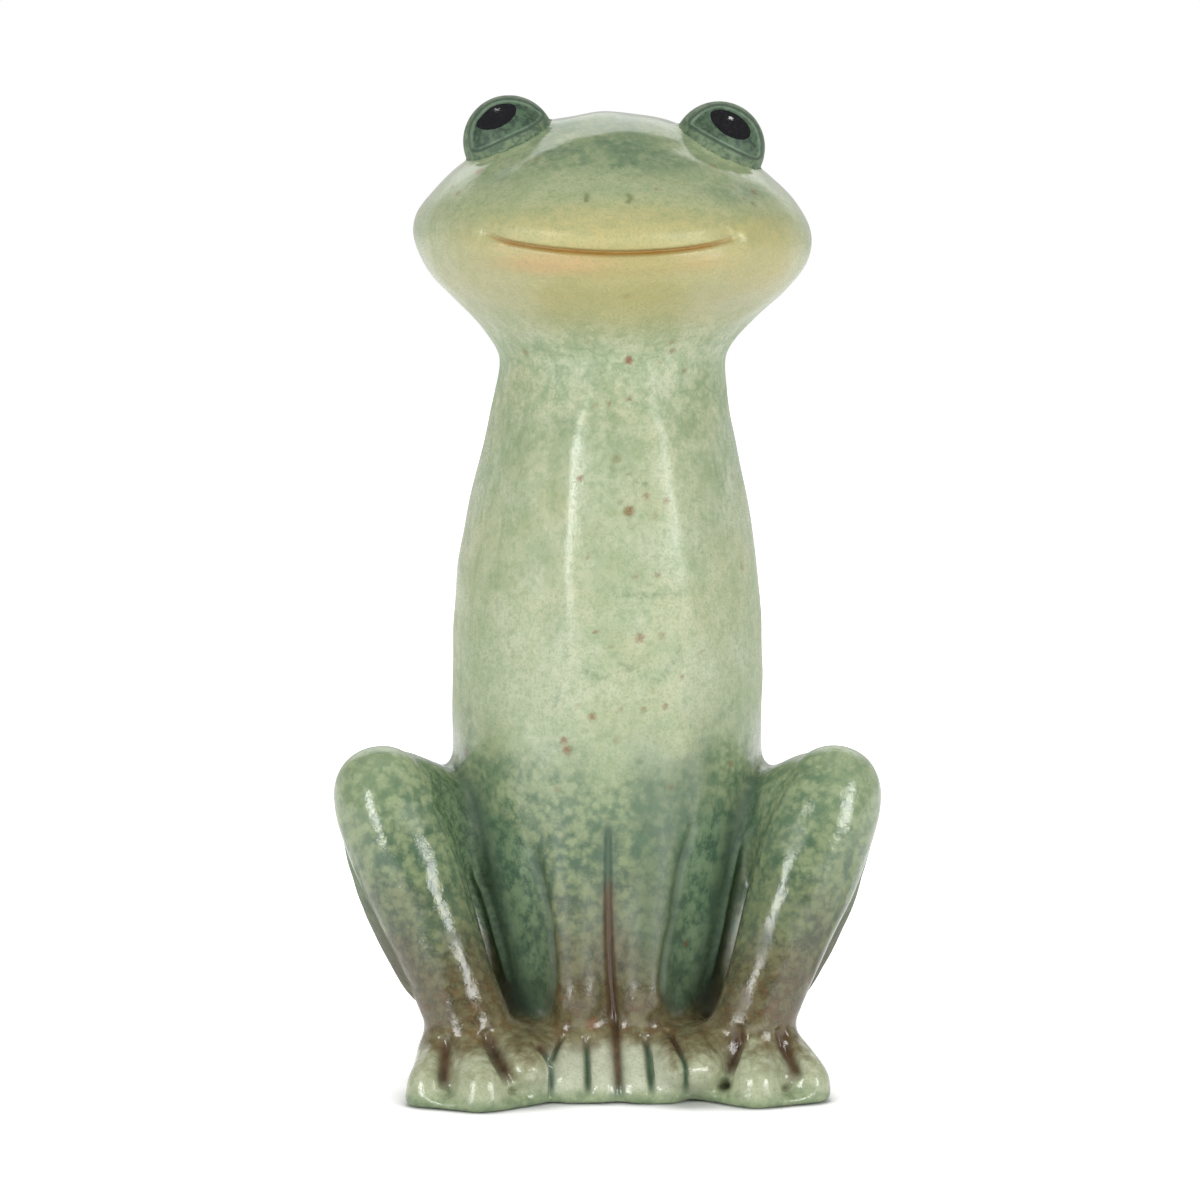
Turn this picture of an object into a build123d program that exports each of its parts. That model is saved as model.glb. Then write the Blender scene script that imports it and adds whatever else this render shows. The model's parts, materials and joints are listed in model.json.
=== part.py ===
"""A tall sitting frog figurine in glazed earthenware, modelled in millimetres.

The frog looks along -Y, +X is to the right of someone facing it, and it stands on Z = 0. The
torso and the head are slip-cast hollow shells. The hind legs, forelegs, feet and eyes are cast
or pressed apart and luted on with slip before the firing, so each of them is cut to the face of
the casting that carries it.
"""

from build123d import *
from math import asin, cos, degrees, pi, radians, sin
import os

# The torso and the head, parted at the neck
neck_height = 213.0  # from the base to the seam
head_height = 74.6  # from the seam to the crown
neck_width = 67.4
belly_width = 93.6
cheek_width = 118.0
neck_front = 31.0  # from the middle line forwards
neck_back = 33.0
belly_front = 46.0
rump_back = 60.0
muzzle_front = 60.0
nape_back = 44.0
rump_set_back = 8.0  # middle line at the base, behind that of the neck
head_shift = 1.5  # the hand-set head stands a little to the right
head_roll = 1.3  # degrees, and leans that way
lean_power = 8  # the torso keeps upright and only its neck follows
wall = 5.0

# Levels of the torso from the base up to the neck, and how far each section has gone from the
# neck's size to the belly's or the rump's
torso_level_shares = (0.0, 0.045, 0.14, 0.28, 0.44, 0.58, 0.71, 0.83, 0.925, 1.0)
torso_width_shares = (0.36, 0.58, 0.80, 0.93, 0.99, 1.0, 0.87, 0.53, 0.18, 0.0)
torso_front_shares = (0.62, 0.86, 1.0, 0.98, 0.92, 0.84, 0.68, 0.44, 0.18, 0.0)
torso_back_shares = (0.80, 0.94, 1.0, 0.92, 0.70, 0.50, 0.34, 0.20, 0.08, 0.0)
torso_set_back_shares = (1.0, 1.0, 1.0, 0.9, 0.72, 0.55, 0.4, 0.25, 0.1, 0.0)

# Levels of the jaw from the neck up to the widest line of the cheeks, and how far each section
# has gone from the neck's size to the head's
jaw_level_shares = (0.08, 0.155, 0.225, 0.30, 0.39, 0.50)
jaw_width_shares = (0.07, 0.24, 0.45, 0.69, 0.90, 1.0)
jaw_front_shares = (0.07, 0.24, 0.45, 0.69, 0.90, 1.0)
jaw_back_shares = (0.10, 0.28, 0.48, 0.70, 0.90, 1.0)
jaw_roll_shares = (0.10, 0.25, 0.50, 0.75, 1.0, 1.0)

# Levels of the skull from there to the crown, with each section as a share of the head's size
skull_level_shares = (0.60, 0.69, 0.78, 0.86, 0.925, 0.968, 0.990, 0.9985)
skull_width_shares = (0.972, 0.888, 0.765, 0.620, 0.460, 0.302, 0.167, 0.065)
skull_front_shares = (0.935, 0.815, 0.670, 0.520, 0.375, 0.245, 0.137, 0.053)
skull_back_shares = (0.985, 0.930, 0.835, 0.700, 0.530, 0.352, 0.197, 0.076)

# The mouth, one long carved smile, and the nostrils
mouth_width = 71.0
mouth_sag = 4.6
mouth_gape = 1.7
mouth_height = 39.0  # of its corners, above the neck seam
nostril_spacing = 12.2
nostril_height = 51.2  # above the seam too
nostril_width = 1.9
nostril_length = 3.0
carving_depth = 2.0

# The eyes: a lid dome on each top corner of the head, with a ball inside
eye_spacing = 62.0
eye_drop = 9.6  # below the crown
eye_roll_drop = 1.8  # how much lower the right eye stands than the left
eye_front = 8.0
eye_shift = 0.4
lid_dome_radius = 13.6
lid_thickness = 1.8
lid_margin = 2.5  # from the dome's outline to the opening
lower_lid_rise = 2.2
lid_tilt = 25.0  # degrees, the lids fall outwards
pupil_length = 13.4
pupil_width = 9.0
pupil_elevation = 45.0  # degrees above the horizon
pupil_outset = 22.0  # degrees outwards
pupil_relief = 0.35  # the black glaze stands proud of the ball

# The hind legs, folded with the knees up
knee_spacing = 133.6
knee_height = 87.0
knee_front = 25.0
knee_radius = 14.2
ankle_spacing = 83.0
ankle_height = 20.0
ankle_front = 39.0
ankle_radius = 12.2
calf_swell = 18.5  # degrees by which the sides leave the straight line below the knee
shin_swell = -5.0  # and above the ankle, where they draw in
hip_spacing = 72.0
hip_height = 39.0
hip_back = 36.0
hip_radius = 34.0
thigh_swell = 7.0
thigh_knee_radius = 13.6

# The feet, which stand a little to the right of the knees
feet_shift = 3.4
ankle_shift = 0.9
left_foot_lead = 3.0  # the left foot stands this far ahead of its mean place, the right one behind
sole_thickness = 3.4
sole_margin = 0.5  # beyond the toes
heel_back = 11.0  # the sole runs back to the belly this far behind the inner toe's root
toe_sink = 0.8  # the toes are flattened against the ground by this much
instep_height = 13.0
hind_root_radius = 9.5
hind_root_spreads = (31.0, 41.5, 47.0)  # inner, middle and outer toe from the middle line
hind_toe_spreads = (25.4, 40.0, 55.4)
hind_toe_reaches = (56.0, 67.0, 60.5)
hind_toe_radii = (6.4, 7.2, 6.4)

# The forelegs, straight down the middle
foreleg_shift = 0.8
shoulder_spacing = 24.0
shoulder_height = 86.0
shoulder_front = 24.0
shoulder_radius = 12.3
foreleg_swell = 1.5
wrist_spacing = 18.6
wrist_height = 26.0
wrist_front = 38.0
wrist_radius = 7.9
fore_root_radius = 5.4
fore_root_height = 17.0
fore_root_spreads = (4.6, 12.0)
fore_toe_spreads = (4.7, 14.5)
fore_toe_reach = 57.5
fore_toe_radius = 5.1

# The vent that lets the air out in the kiln
vent_diameter = 12.0
vent_back = 22.0

overrun = 2.0  # how far a cutting form passes the face that it cuts
outline_points = 12  # round each section


def between(low, high, share):
    """The size that lies this share of the way from low to high."""
    return low + (high - low) * share


def torso_sections():
    """Level, half width, front, back, set-back, shift and roll of each section to the neck."""
    return [
        (
            neck_height * level,
            between(neck_width, belly_width, width) / 2,
            between(neck_front, belly_front, front),
            between(neck_back, rump_back, back),
            rump_set_back * set_back,
            head_shift * level**lean_power,
            0,
        )
        for level, width, front, back, set_back in zip(
            torso_level_shares, torso_width_shares, torso_front_shares,
            torso_back_shares, torso_set_back_shares,
        )
    ]


def head_sections():
    """The same from the neck up to the crown."""
    rows = [(neck_height, neck_width / 2, neck_front, neck_back, 0, head_shift, 0)]
    rows += [
        (
            neck_height + head_height * level,
            between(neck_width, cheek_width, width) / 2,
            between(neck_front, muzzle_front, front),
            between(neck_back, nape_back, back),
            0,
            head_shift,
            head_roll * roll,
        )
        for level, width, front, back, roll in zip(
            jaw_level_shares, jaw_width_shares, jaw_front_shares, jaw_back_shares, jaw_roll_shares
        )
    ]
    rows += [
        (
            neck_height + head_height * level,
            cheek_width / 2 * width,
            muzzle_front * front,
            nape_back * back,
            0,
            head_shift,
            head_roll,
        )
        for level, width, front, back in zip(
            skull_level_shares, skull_width_shares, skull_front_shares, skull_back_shares
        )
    ]
    return rows


def lofted(sections, low, high, inset=0):
    """A closed form through the sections, moved inwards by inset and fitted from low to high."""
    bottom, top = sections[0][0], sections[-1][0]
    with BuildPart() as form:
        for level, half_width, front, back, set_back, shift, roll in sections:
            height = between(low, high, (level - bottom) / (top - bottom))
            half, ahead, behind = (
                max(radius - inset, radius / 2) for radius in (half_width, front, back)
            )
            turns = [2 * pi * i / outline_points for i in range(outline_points)]
            with BuildSketch(Plane(origin=(shift, set_back, height)).rotated((0, roll, 0))):
                with BuildLine():
                    Spline(
                        *[
                            (half * cos(turn), (behind if sin(turn) > 0 else ahead) * sin(turn))
                            for turn in turns
                        ],
                        periodic=True,
                    )
                make_face()
        loft()
    return form.part


def limb(start, end, start_radius, end_radius, start_swell=0, end_swell=None):
    """A round limb between two joints, a ball about each and the side between them swollen."""
    start, end = Vector(start), Vector(end)
    axis = end - start
    length = axis.length
    taper = asin((start_radius - end_radius) / length)
    leaving = taper - radians(start_swell)
    meeting = taper + radians(start_swell if end_swell is None else end_swell)
    with BuildPart() as form:
        with BuildSketch(Plane(origin=start, x_dir=axis, z_dir=axis.cross(Vector(0, 0, 1)))):
            with BuildLine():
                rear = CenterArc((0, 0), start_radius, 180, -90 - degrees(leaving))
                fore = CenterArc((length, 0), end_radius, 0, 90 - degrees(meeting))
                Spline(
                    rear @ 1,
                    fore @ 1,
                    tangents=((cos(leaving), -sin(leaving)), (cos(meeting), -sin(meeting))),
                )
                Line(fore @ 0, rear @ 0)
            make_face()
        revolve(axis=Axis(start, axis))
    return form.part


def foot(roots, tips, root_radius, toe_radii, neighbours):
    """Toes on one sole, each cut to the neighbours that carry them before the two are joined."""
    with BuildPart() as toes:
        for root, tip, radius in zip(roots, tips, toe_radii):
            add(limb(root, tip, root_radius, radius))
        split(bisect_by=Plane.XY)
        for neighbour in neighbours:
            add(neighbour, mode=Mode.SUBTRACT)
    with BuildPart() as sole:
        with BuildSketch():
            for tip, radius in zip(tips, toe_radii):
                with Locations(tip[:2]):
                    Circle(radius + sole_margin)
            with Locations(*[root[:2] for root in roots]):
                Circle(root_radius)
            with Locations((roots[0][0], roots[0][1] + heel_back)):
                Circle(root_radius)
            make_hull()
        extrude(amount=sole_thickness)
        for neighbour in neighbours:
            add(neighbour, mode=Mode.SUBTRACT)
    with BuildPart() as joined:
        add(toes.part)
        add(sole.part)
    return joined.part


def save(part, name):
    part.label = name
    export_step(part, f"parts/{name}.step")


os.makedirs("parts", exist_ok=True)
sides = (("left", -1), ("right", 1))  # as seen by someone facing the frog
crown_height = neck_height + head_height * skull_level_shares[-1]

# Torso
torso_skin = lofted(torso_sections(), 0, neck_height)
torso_hollow = lofted(torso_sections(), wall, neck_height, wall)
with BuildPart() as torso:
    add(torso_skin)
    add(torso_hollow, mode=Mode.SUBTRACT)
    with Locations((0, vent_back, wall / 2)):
        Cylinder(vent_diameter / 2, wall + overrun, mode=Mode.SUBTRACT)
save(torso.part, "torso")

# Head, with the mouth and nostrils carved to one depth
head_skin = lofted(head_sections(), neck_height, crown_height)
head_hollow = lofted(head_sections(), neck_height, crown_height - wall, wall)
with BuildPart() as carving:
    with BuildSketch(Plane.XZ):
        with BuildLine():
            smile = neck_height + mouth_height
            corners = [(head_shift + end * mouth_width / 2, smile) for end in (-1, 1)]
            for gape in (-mouth_gape / 2, mouth_gape / 2):
                ThreePointArc(
                    corners[0], (head_shift, smile - mouth_sag + gape), corners[1]
                )
        make_face()
        with Locations(
            (head_shift - nostril_spacing / 2, neck_height + nostril_height),
            (head_shift + nostril_spacing / 2, neck_height + nostril_height),
        ):
            Ellipse(nostril_width / 2, nostril_length / 2)
    extrude(amount=muzzle_front + overrun)
    add(
        lofted(head_sections(), neck_height, crown_height - carving_depth, carving_depth),
        mode=Mode.SUBTRACT,
    )
with BuildPart() as head:
    add(head_skin)
    add(head_hollow, mode=Mode.SUBTRACT)
    add(carving.part, mode=Mode.SUBTRACT)
save(head.part, "head")

# Eyes
ball_radius = lid_dome_radius - lid_thickness
for name, side in sides:
    centre = Vector(
        head_shift + eye_shift + side * eye_spacing / 2,
        -eye_front,
        neck_height + head_height - eye_drop - side * eye_roll_drop / 2,
    )
    lid_line = Vector(cos(radians(lid_tilt)), 0, -side * sin(radians(lid_tilt)))
    front_plane = Plane(origin=centre, x_dir=lid_line, z_dir=(0, -1, 0))
    window_radius = lid_dome_radius - lid_margin

    with BuildPart() as window:
        with BuildSketch(front_plane):
            Circle(window_radius)
            with Locations((0, lower_lid_rise - window_radius)):
                Rectangle(2 * window_radius, 2 * window_radius, mode=Mode.SUBTRACT)
        extrude(amount=lid_dome_radius + overrun)

    with BuildPart() as ball_form:
        with Locations(centre):
            Sphere(ball_radius)

    with BuildPart() as lids:
        with Locations(centre):
            Sphere(lid_dome_radius)
        add(ball_form.part, mode=Mode.SUBTRACT)
        add(window.part, mode=Mode.SUBTRACT)
        add(head_skin, mode=Mode.SUBTRACT)
    save(lids.part, f"{name}_eyelids")

    with BuildPart() as eyeball:
        add(ball_form.part)
        add(head_skin, mode=Mode.SUBTRACT)
    save(eyeball.part, f"{name}_eyeball")

    gaze = Vector(
        side * sin(radians(pupil_outset)) * cos(radians(pupil_elevation)),
        -cos(radians(pupil_outset)) * cos(radians(pupil_elevation)),
        sin(radians(pupil_elevation)),
    )
    with BuildPart() as pupil:
        with BuildSketch(Plane(origin=centre, x_dir=lid_line, z_dir=gaze)):
            Ellipse(pupil_length / 2, pupil_width / 2)
        extrude(amount=lid_dome_radius)
        with Locations(centre):
            Sphere(ball_radius + pupil_relief, mode=Mode.INTERSECT)
        add(ball_form.part, mode=Mode.SUBTRACT)
        add(window.part, mode=Mode.INTERSECT)
    save(pupil.part, f"{name}_pupil")

# Legs and feet
for name, side in sides:
    knee = (side * knee_spacing / 2, -knee_front, knee_height)
    ankle = (ankle_shift + side * ankle_spacing / 2, -ankle_front, ankle_height)
    hip = (side * hip_spacing / 2, hip_back, hip_height)
    shin_skin = limb(knee, ankle, knee_radius, ankle_radius, calf_swell, shin_swell)
    thigh_skin = limb(knee, hip, thigh_knee_radius, hip_radius, thigh_swell)
    with BuildPart() as shin:
        add(shin_skin)
        add(
            limb(knee, ankle, knee_radius - wall, ankle_radius - wall, calf_swell, shin_swell),
            mode=Mode.SUBTRACT,
        )
        add(torso_skin, mode=Mode.SUBTRACT)
    save(shin.part, f"{name}_shin")

    with BuildPart() as thigh:
        add(thigh_skin)
        add(
            limb(knee, hip, thigh_knee_radius - wall, hip_radius - wall, thigh_swell),
            mode=Mode.SUBTRACT,
        )
        add(torso_skin, mode=Mode.SUBTRACT)
        add(shin_skin, mode=Mode.SUBTRACT)
    save(thigh.part, f"{name}_thigh")

    shoulder = (foreleg_shift + side * shoulder_spacing / 2, -shoulder_front, shoulder_height)
    wrist = (foreleg_shift + side * wrist_spacing / 2, -wrist_front, wrist_height)
    foreleg_skin = limb(shoulder, wrist, shoulder_radius, wrist_radius, foreleg_swell)
    parting = Plane(origin=(foreleg_shift, 0, 0), z_dir=(side, 0, 0))
    with BuildPart() as foreleg:
        add(foreleg_skin)
        split(bisect_by=parting)
        add(torso_skin, mode=Mode.SUBTRACT)
    save(foreleg.part, f"{name}_foreleg")

    fore_roots = [
        (foreleg_shift + side * spread, -wrist_front, fore_root_height)
        for spread in fore_root_spreads
    ]
    fore_tips = [
        (feet_shift + side * spread, fore_toe_radius - fore_toe_reach, fore_toe_radius - toe_sink)
        for spread in fore_toe_spreads
    ]
    slant = Vector(feet_shift - foreleg_shift, 0, fore_toe_radius - wrist_height)
    toe_parting = Plane(
        origin=(foreleg_shift, 0, wrist_height), z_dir=slant.cross(Vector(0, side, 0))
    )
    with BuildPart() as forefoot:
        add(
            foot(
                fore_roots,
                fore_tips,
                fore_root_radius,
                [fore_toe_radius] * len(fore_tips),
                (torso_skin, foreleg_skin),
            )
        )
        split(bisect_by=toe_parting)
    save(forefoot.part, f"{name}_forefoot")

    hind_roots = [
        (ankle_shift + side * spread, -ankle_front, instep_height)
        for spread in hind_root_spreads
    ]
    hind_tips = [
        (feet_shift + side * spread, radius - reach + side * left_foot_lead, radius - toe_sink)
        for spread, reach, radius in zip(hind_toe_spreads, hind_toe_reaches, hind_toe_radii)
    ]
    with BuildPart() as hind_foot:
        add(
            foot(
                hind_roots,
                hind_tips,
                hind_root_radius,
                hind_toe_radii,
                (torso_skin, thigh_skin, shin_skin, foreleg_skin, forefoot.part),
            )
        )
    save(hind_foot.part, f"{name}_hind_foot")
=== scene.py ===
import json
from contextlib import contextmanager
from math import cos, pi, radians, sin

import bmesh
import bpy
import numpy as np
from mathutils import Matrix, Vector
from mathutils.bvhtree import BVHTree


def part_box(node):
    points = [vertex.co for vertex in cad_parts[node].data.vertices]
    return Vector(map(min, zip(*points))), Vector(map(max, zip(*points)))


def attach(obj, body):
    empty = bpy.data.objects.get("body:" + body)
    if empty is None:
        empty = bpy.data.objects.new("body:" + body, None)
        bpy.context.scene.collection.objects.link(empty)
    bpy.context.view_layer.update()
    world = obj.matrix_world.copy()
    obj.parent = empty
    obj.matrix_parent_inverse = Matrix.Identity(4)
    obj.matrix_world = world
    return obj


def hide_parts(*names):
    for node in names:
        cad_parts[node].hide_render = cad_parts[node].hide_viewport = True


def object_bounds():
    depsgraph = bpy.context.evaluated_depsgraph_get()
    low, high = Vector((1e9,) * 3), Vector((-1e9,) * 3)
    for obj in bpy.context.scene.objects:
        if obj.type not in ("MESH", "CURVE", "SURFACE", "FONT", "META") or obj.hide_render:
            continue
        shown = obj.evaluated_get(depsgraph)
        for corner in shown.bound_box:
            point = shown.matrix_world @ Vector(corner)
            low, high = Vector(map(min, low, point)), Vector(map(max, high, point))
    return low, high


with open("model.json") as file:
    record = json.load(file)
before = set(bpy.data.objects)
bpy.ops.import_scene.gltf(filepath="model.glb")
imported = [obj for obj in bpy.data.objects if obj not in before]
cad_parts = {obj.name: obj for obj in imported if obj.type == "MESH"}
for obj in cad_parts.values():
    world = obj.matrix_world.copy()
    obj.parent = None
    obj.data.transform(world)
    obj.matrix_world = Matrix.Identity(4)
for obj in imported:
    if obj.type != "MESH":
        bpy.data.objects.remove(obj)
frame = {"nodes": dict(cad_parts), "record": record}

# The frog is one glazed skin over its castings. The skin is made from the castings themselves,
# its joints are filled as slip and glaze fill them, the small forms are pressed into it, and it is
# parted again into one piece for each casting. Lengths are in millimetres until a mesh is made.
cad_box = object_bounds()
metre = 1000.0

# Camera, at the photograph's viewing angle
camera_target = (-2.25, 0.0, 142.0)
camera_distance = 1400.0
camera_elevation = radians(5.5)
camera_lens = 140.0
sensor_width = 36.0
image_size = 1200
pixel_reach = sensor_width / camera_lens / image_size  # what a pixel spans at a distance of 1

# Skin
voxel = 0.9
plug_radius = 9.0  # stops the vent inside, so that the skin stays on the outside
plug_low = 4.0
plug_high = 12.0
plug_back = 22.0
# Webs of slip behind the shin and between the feet, on both sides: centre and half sizes
web_forms = (((43.0, -7.0, 34.0), (13.0, 19.0, 32.0)), ((24.0, -38.0, 10.6), (13.0, 27.0, 10.0)))
fold_top = (125.0, 105.0)  # heights between which slip begins to fill the folds of the legs
fold_foot = (0.5, 6.0)
waviness = 0.13  # of the hand-made surface
wave_lengths = (12.0, 26.0)
mouth_fill = 4.5  # how far about its line the casting's cut is filled
nostril_fill = 6.0
line_margin = 4.0  # of the finer skin about a pressed line
face_margin = 2.4  # of the finest skin about the mouth and the nostrils
box_margin = 0.05

# Eyes
eye_inset = 11.8  # of an eye's centre from three sides of its casting's box
eye_reach = 16.0  # of the skin about an eye's centre that its lid and ball take up
rim_margin = 7  # pixels about the ball's outline in which the skin is finest
rim_step = 1.7  # pixels on each side of the outline in which the lid steps down to the ball
lid_line_place = -1.3  # pixels inside the ball's outline, so just outside it
lid_line_width = 1.15
# Place and width of the painted highlight just inside the ball's outline, in pixels
ball_edge_place = 1.3
ball_edge_width = 1.1
pupil_margin = 1.4  # pixels between a pupil and the ball's outline
lid_radius = 13.6
ball_radius = 12.5
pupil_relief = 0.3
pupil_sink = 0.6
pupil_flatness = 0.45  # of its shine, against that of the ball
catch_lights = {"left": (497, 110.5), "right": (731, 119)}

# Lines of the face and the legs, in pixels of the photograph
mouth_line = (
    (484, 232), (502, 240), (522, 245), (560, 250.5), (610, 253.5), (660, 252), (700, 247), (722, 242),
    (735, 238),
)
mouth_corners = (((483, 233), (488, 236)), ((733, 238), (739, 236)))
lip_bead = ((712, 212), (726, 222), (733, 230), (742, 234), (752, 237))
nostrils = (((587, 195), (586, 201)), ((628.5, 195), (631, 198), (628, 202)))
balls = {
    "left": (
        (470.6, 132.5), (473.8, 121), (482.5, 110), (493.8, 102.5), (506, 99.8), (517.5, 100.6),
        (527.5, 103.8), (536, 108.8), (542.5, 115.6), (530, 126.9), (515, 133.8), (500, 141),
        (486, 147.5), (475, 150.5), (471, 145),
    ),
    "right": (
        (761, 145), (757.5, 130), (749, 118), (736, 109.5), (720, 105.5), (706, 109), (697.5, 115),
        (690, 123.5), (700, 131), (717.5, 141), (735, 150), (750, 157), (759, 157),
    ),
}
pupils = {"left": (495.5, 115.7, 22.0, 12.2, 23.0), "right": (730.5, 124, 22.8, 11.6, -33.0)}
middle_groove = ((608, 817), (608, 870), (608.5, 930), (611, 985), (616, 1040), (620, 1100))
shin_edges = (
    ((462, 843), (472, 868), (485.5, 899), (497, 937), (503, 960), (508, 983)),
    ((755.5, 823), (746, 836), (738, 850), (729, 883), (721, 923), (713, 962), (709, 981)),
)
shin_lines = (((433, 806), (449, 838), (462, 872), (471, 908), (478, 930)),)
creases = (
    ((466, 768), (474, 800), (483, 838), (491, 875), (499, 915), (509, 958), (518, 1000), (528, 1018)),
    ((758, 776), (750, 795), (741, 829), (730, 862), (720, 916), (711, 964), (704, 1000), (697, 1012)),
)
inner_shins = (
    (
        (430, 768), (462, 787), (475, 830), (490, 865), (503, 905), (513, 952), (518, 990), (505, 975),
        (488, 935), (473, 908), (462, 872), (449, 838), (433, 806),
    ),
    (
        (757, 780), (745, 815), (731, 855), (718, 895), (706, 943), (703, 990), (716, 960), (729, 905),
        (739, 868), (749, 838), (757, 815),
    ),
)
outer_edges = (
    ((350, 852), (360, 880), (378, 920), (398, 960), (417, 1000)),
    ((860, 850), (850, 880), (835, 920), (818, 955), (808, 985)),
)
foreleg_edges = (
    ((533, 845), (544, 890), (551, 930), (554, 975), (550, 1005), (538, 1021)),
    ((694, 822), (680, 868), (673, 919), (665, 955), (663, 990), (672, 1011), (686, 1016)),
)
pockets = (
    (
        (476, 806), (502, 812), (532, 845), (544, 890), (551, 930), (554, 980), (548, 1010),
        (534, 1022), (520, 1008), (511, 975), (500, 925), (488, 870),
    ),
    (
        (742, 812), (712, 806), (694, 824), (680, 868), (673, 919), (664, 957), (662, 990),
        (672, 1012), (690, 1012), (703, 992), (714, 943), (728, 870),
    ),
)
# Toe grooves, each with the width of its hollow, from the root to the tip
toe_grooves = (
    (((443, 1035), (445, 1060), (443, 1090)), 2.0),
    (((484, 1030), (496, 1055), (512, 1084)), 2.0),
    (((533, 1041), (545, 1055), (551, 1070), (551, 1098)), 0.9),
    (((563, 1034), (556, 1052), (551, 1066)), 0.8),
    (((586, 1035), (587, 1062), (588, 1096)), 1.0),
    (((644, 1033), (649, 1060), (652, 1096)), 1.0),
    (((667, 1029), (678, 1048), (685, 1066), (686, 1096)), 1.0),
    (((741, 1025), (736, 1048), (729, 1076)), 1.9),
    (((778, 1027), (787, 1052), (799, 1080)), 1.9),
)
# Edges of the chest's flatter front, as rows and where the edge stands in each
left_chest = ((330, 602), (402, 588), (450, 573), (500, 570), (560, 569), (620, 569), (800, 570))
right_chest = (
    (330, 640), (415, 656), (430, 662), (480, 672), (536, 681), (565, 687), (620, 692), (800, 696),
)
# How the skin bends beyond each edge: distances from it and the extra slope there
left_bend = (
    (-2, 0, 1.2, 3, 6, 9, 12, 15, 20, 27, 38),
    (0, 0.06, 0.24, 0.26, 0.2, 0.12, 0.03, -0.04, -0.12, -0.12, 0),
)
right_bend = (
    (-16, -11, -6, -2, 0, 1.5, 3.5, 7, 12, 18),
    (0, -0.07, -0.14, -0.12, 0.04, 0.16, 0.15, 0.08, 0.03, 0),
)
chest_pixel = 0.291  # across a pixel at the chest
chest_top = (325, 430)  # rows between which the flatter front comes in
chest_foot = (760, 590)
lip_middle = (616, 229)
lip_reach = (116, 20)
lip_rise = 0.15
# Iron specks in the glaze: place, radius in millimetres and strength
specks = (
    (629, 360, 1.4, 0.9), (525, 352, 1.1, 0.5), (479, 171, 1.6, 0.6), (452, 187, 0.9, 0.5),
    (458, 193, 0.9, 0.5), (537, 159, 0.9, 0.4), (497, 157, 0.8, 0.3), (754, 192, 1.2, 0.5),
    (744, 199, 0.8, 0.5), (753, 204, 0.8, 0.4), (737, 173, 1.1, 0.4), (714, 166, 1.2, 0.3),
    (657, 189, 0.8, 0.3), (732, 187, 0.7, 0.4), (672, 342, 0.9, 0.5), (672, 351, 1.0, 0.5),
    (684, 371, 0.8, 0.5), (660, 363, 0.7, 0.4), (587, 342, 0.7, 0.3), (627, 296, 1.3, 0.3),
    (609, 404, 0.8, 0.6), (629, 399, 0.8, 0.6), (595, 406, 0.9, 0.3), (629, 511, 1.6, 0.75),
    (646, 496, 1.1, 0.5), (667, 501, 1.1, 0.5), (621, 502, 0.8, 0.3), (655, 515, 1.0, 0.3),
    (580, 478, 1.0, 0.8), (617, 459, 1.2, 0.35), (629, 474, 0.6, 0.4), (588, 557, 0.7, 0.6),
    (636, 577, 0.8, 0.5), (657, 575, 0.8, 0.6), (620, 549, 0.5, 0.4), (640, 638, 1.4, 0.65),
    (662, 635, 1.2, 0.35), (595, 632, 0.8, 0.6), (611, 647, 0.7, 0.3), (702, 651, 0.9, 0.3),
    (682, 677, 0.8, 0.5), (665, 706, 1.0, 0.6), (644, 709, 0.9, 0.5), (592, 717, 1.2, 0.7),
    (620, 710, 0.9, 0.3), (577, 706, 0.7, 0.3), (653, 691, 0.7, 0.3), (564, 741, 1.3, 0.7),
    (567, 750, 1.4, 0.75), (618, 740, 1.2, 0.25), (731, 764, 1.2, 0.55), (724, 770, 0.6, 0.4),
    (671, 787, 0.8, 0.6), (557, 789, 0.9, 0.35), (466, 752, 1.6, 0.4), (742, 567, 1.2, 0.35),
    (732, 477, 1.2, 0.3), (592, 1024, 2.2, 0.6), (686, 944, 0.9, 0.6),
)
# Dark threads in the glaze of the belly
threads = (
    ((605, 585), (620, 593), (645, 595), (685, 593)),
    ((580, 669), (595, 675), (612, 679)),
    ((561, 682), (557, 697), (556, 711)),
    ((683, 645), (675, 660), (661, 676)),
    ((614, 667), (620, 664), (633, 671), (652, 680), (673, 680)),
    ((740, 692), (715, 722), (695, 735)),
    ((632, 482), (641, 485), (653, 480)),
)
# Painted patches: place, half sizes, how square they are and strength
ochre_patches = (
    (613, 234, 150, 32, 4, 1), (625, 288, 165, 42, 3, 0.95), (765, 252, 42, 40, 3, 0.75),
    (462, 262, 40, 30, 3, 0.35),
)
peach_patches = ((552, 263, 56, 11, 3, 0.8), (702, 262, 22, 9, 2, 0.4), (505, 246, 16, 6, 2, 0.4))
brow_patches = (
    (610, 150, 62, 22, 3, 1), (545, 158, 55, 15, 2, 0.7), (675, 162, 55, 15, 2, 0.7),
    (492, 176, 40, 14, 2, 0.6), (740, 190, 36, 14, 2, 0.7),
)
satin_patches = (
    (752, 942, 24, 22, 4), (790, 838, 20, 16, 4), (447, 937, 14, 7, 4), (411, 818, 18, 18, 4),
    (738, 1000, 14, 18, 4),
)
chin_patch = (612, 236, 138, 24, 4)
lip_patch = (612, 262, 105, 17, 4)
chest_middle = 620
chest_wet_top = (395, 425)
chest_wet_ends = (610, 650)  # right and left of the middle
chest_wet_fade = 80
right_dry = 26  # about the right edge, where the wet front is duller

# Heights and widths between which the glaze turns satin or wet, or takes its shade
satin_low, satin_high = (92.0, 116.0), (238.0, 216.0)
neck_foot, neck_top = (205.0, 230.0), (264.0, 246.0)
foreleg_side, foreleg_foot = (25.0, 21.0), (28.0, 38.0)
haunch_top, haunch_side = (88.0, 70.0), (44.0, 54.0)


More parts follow.
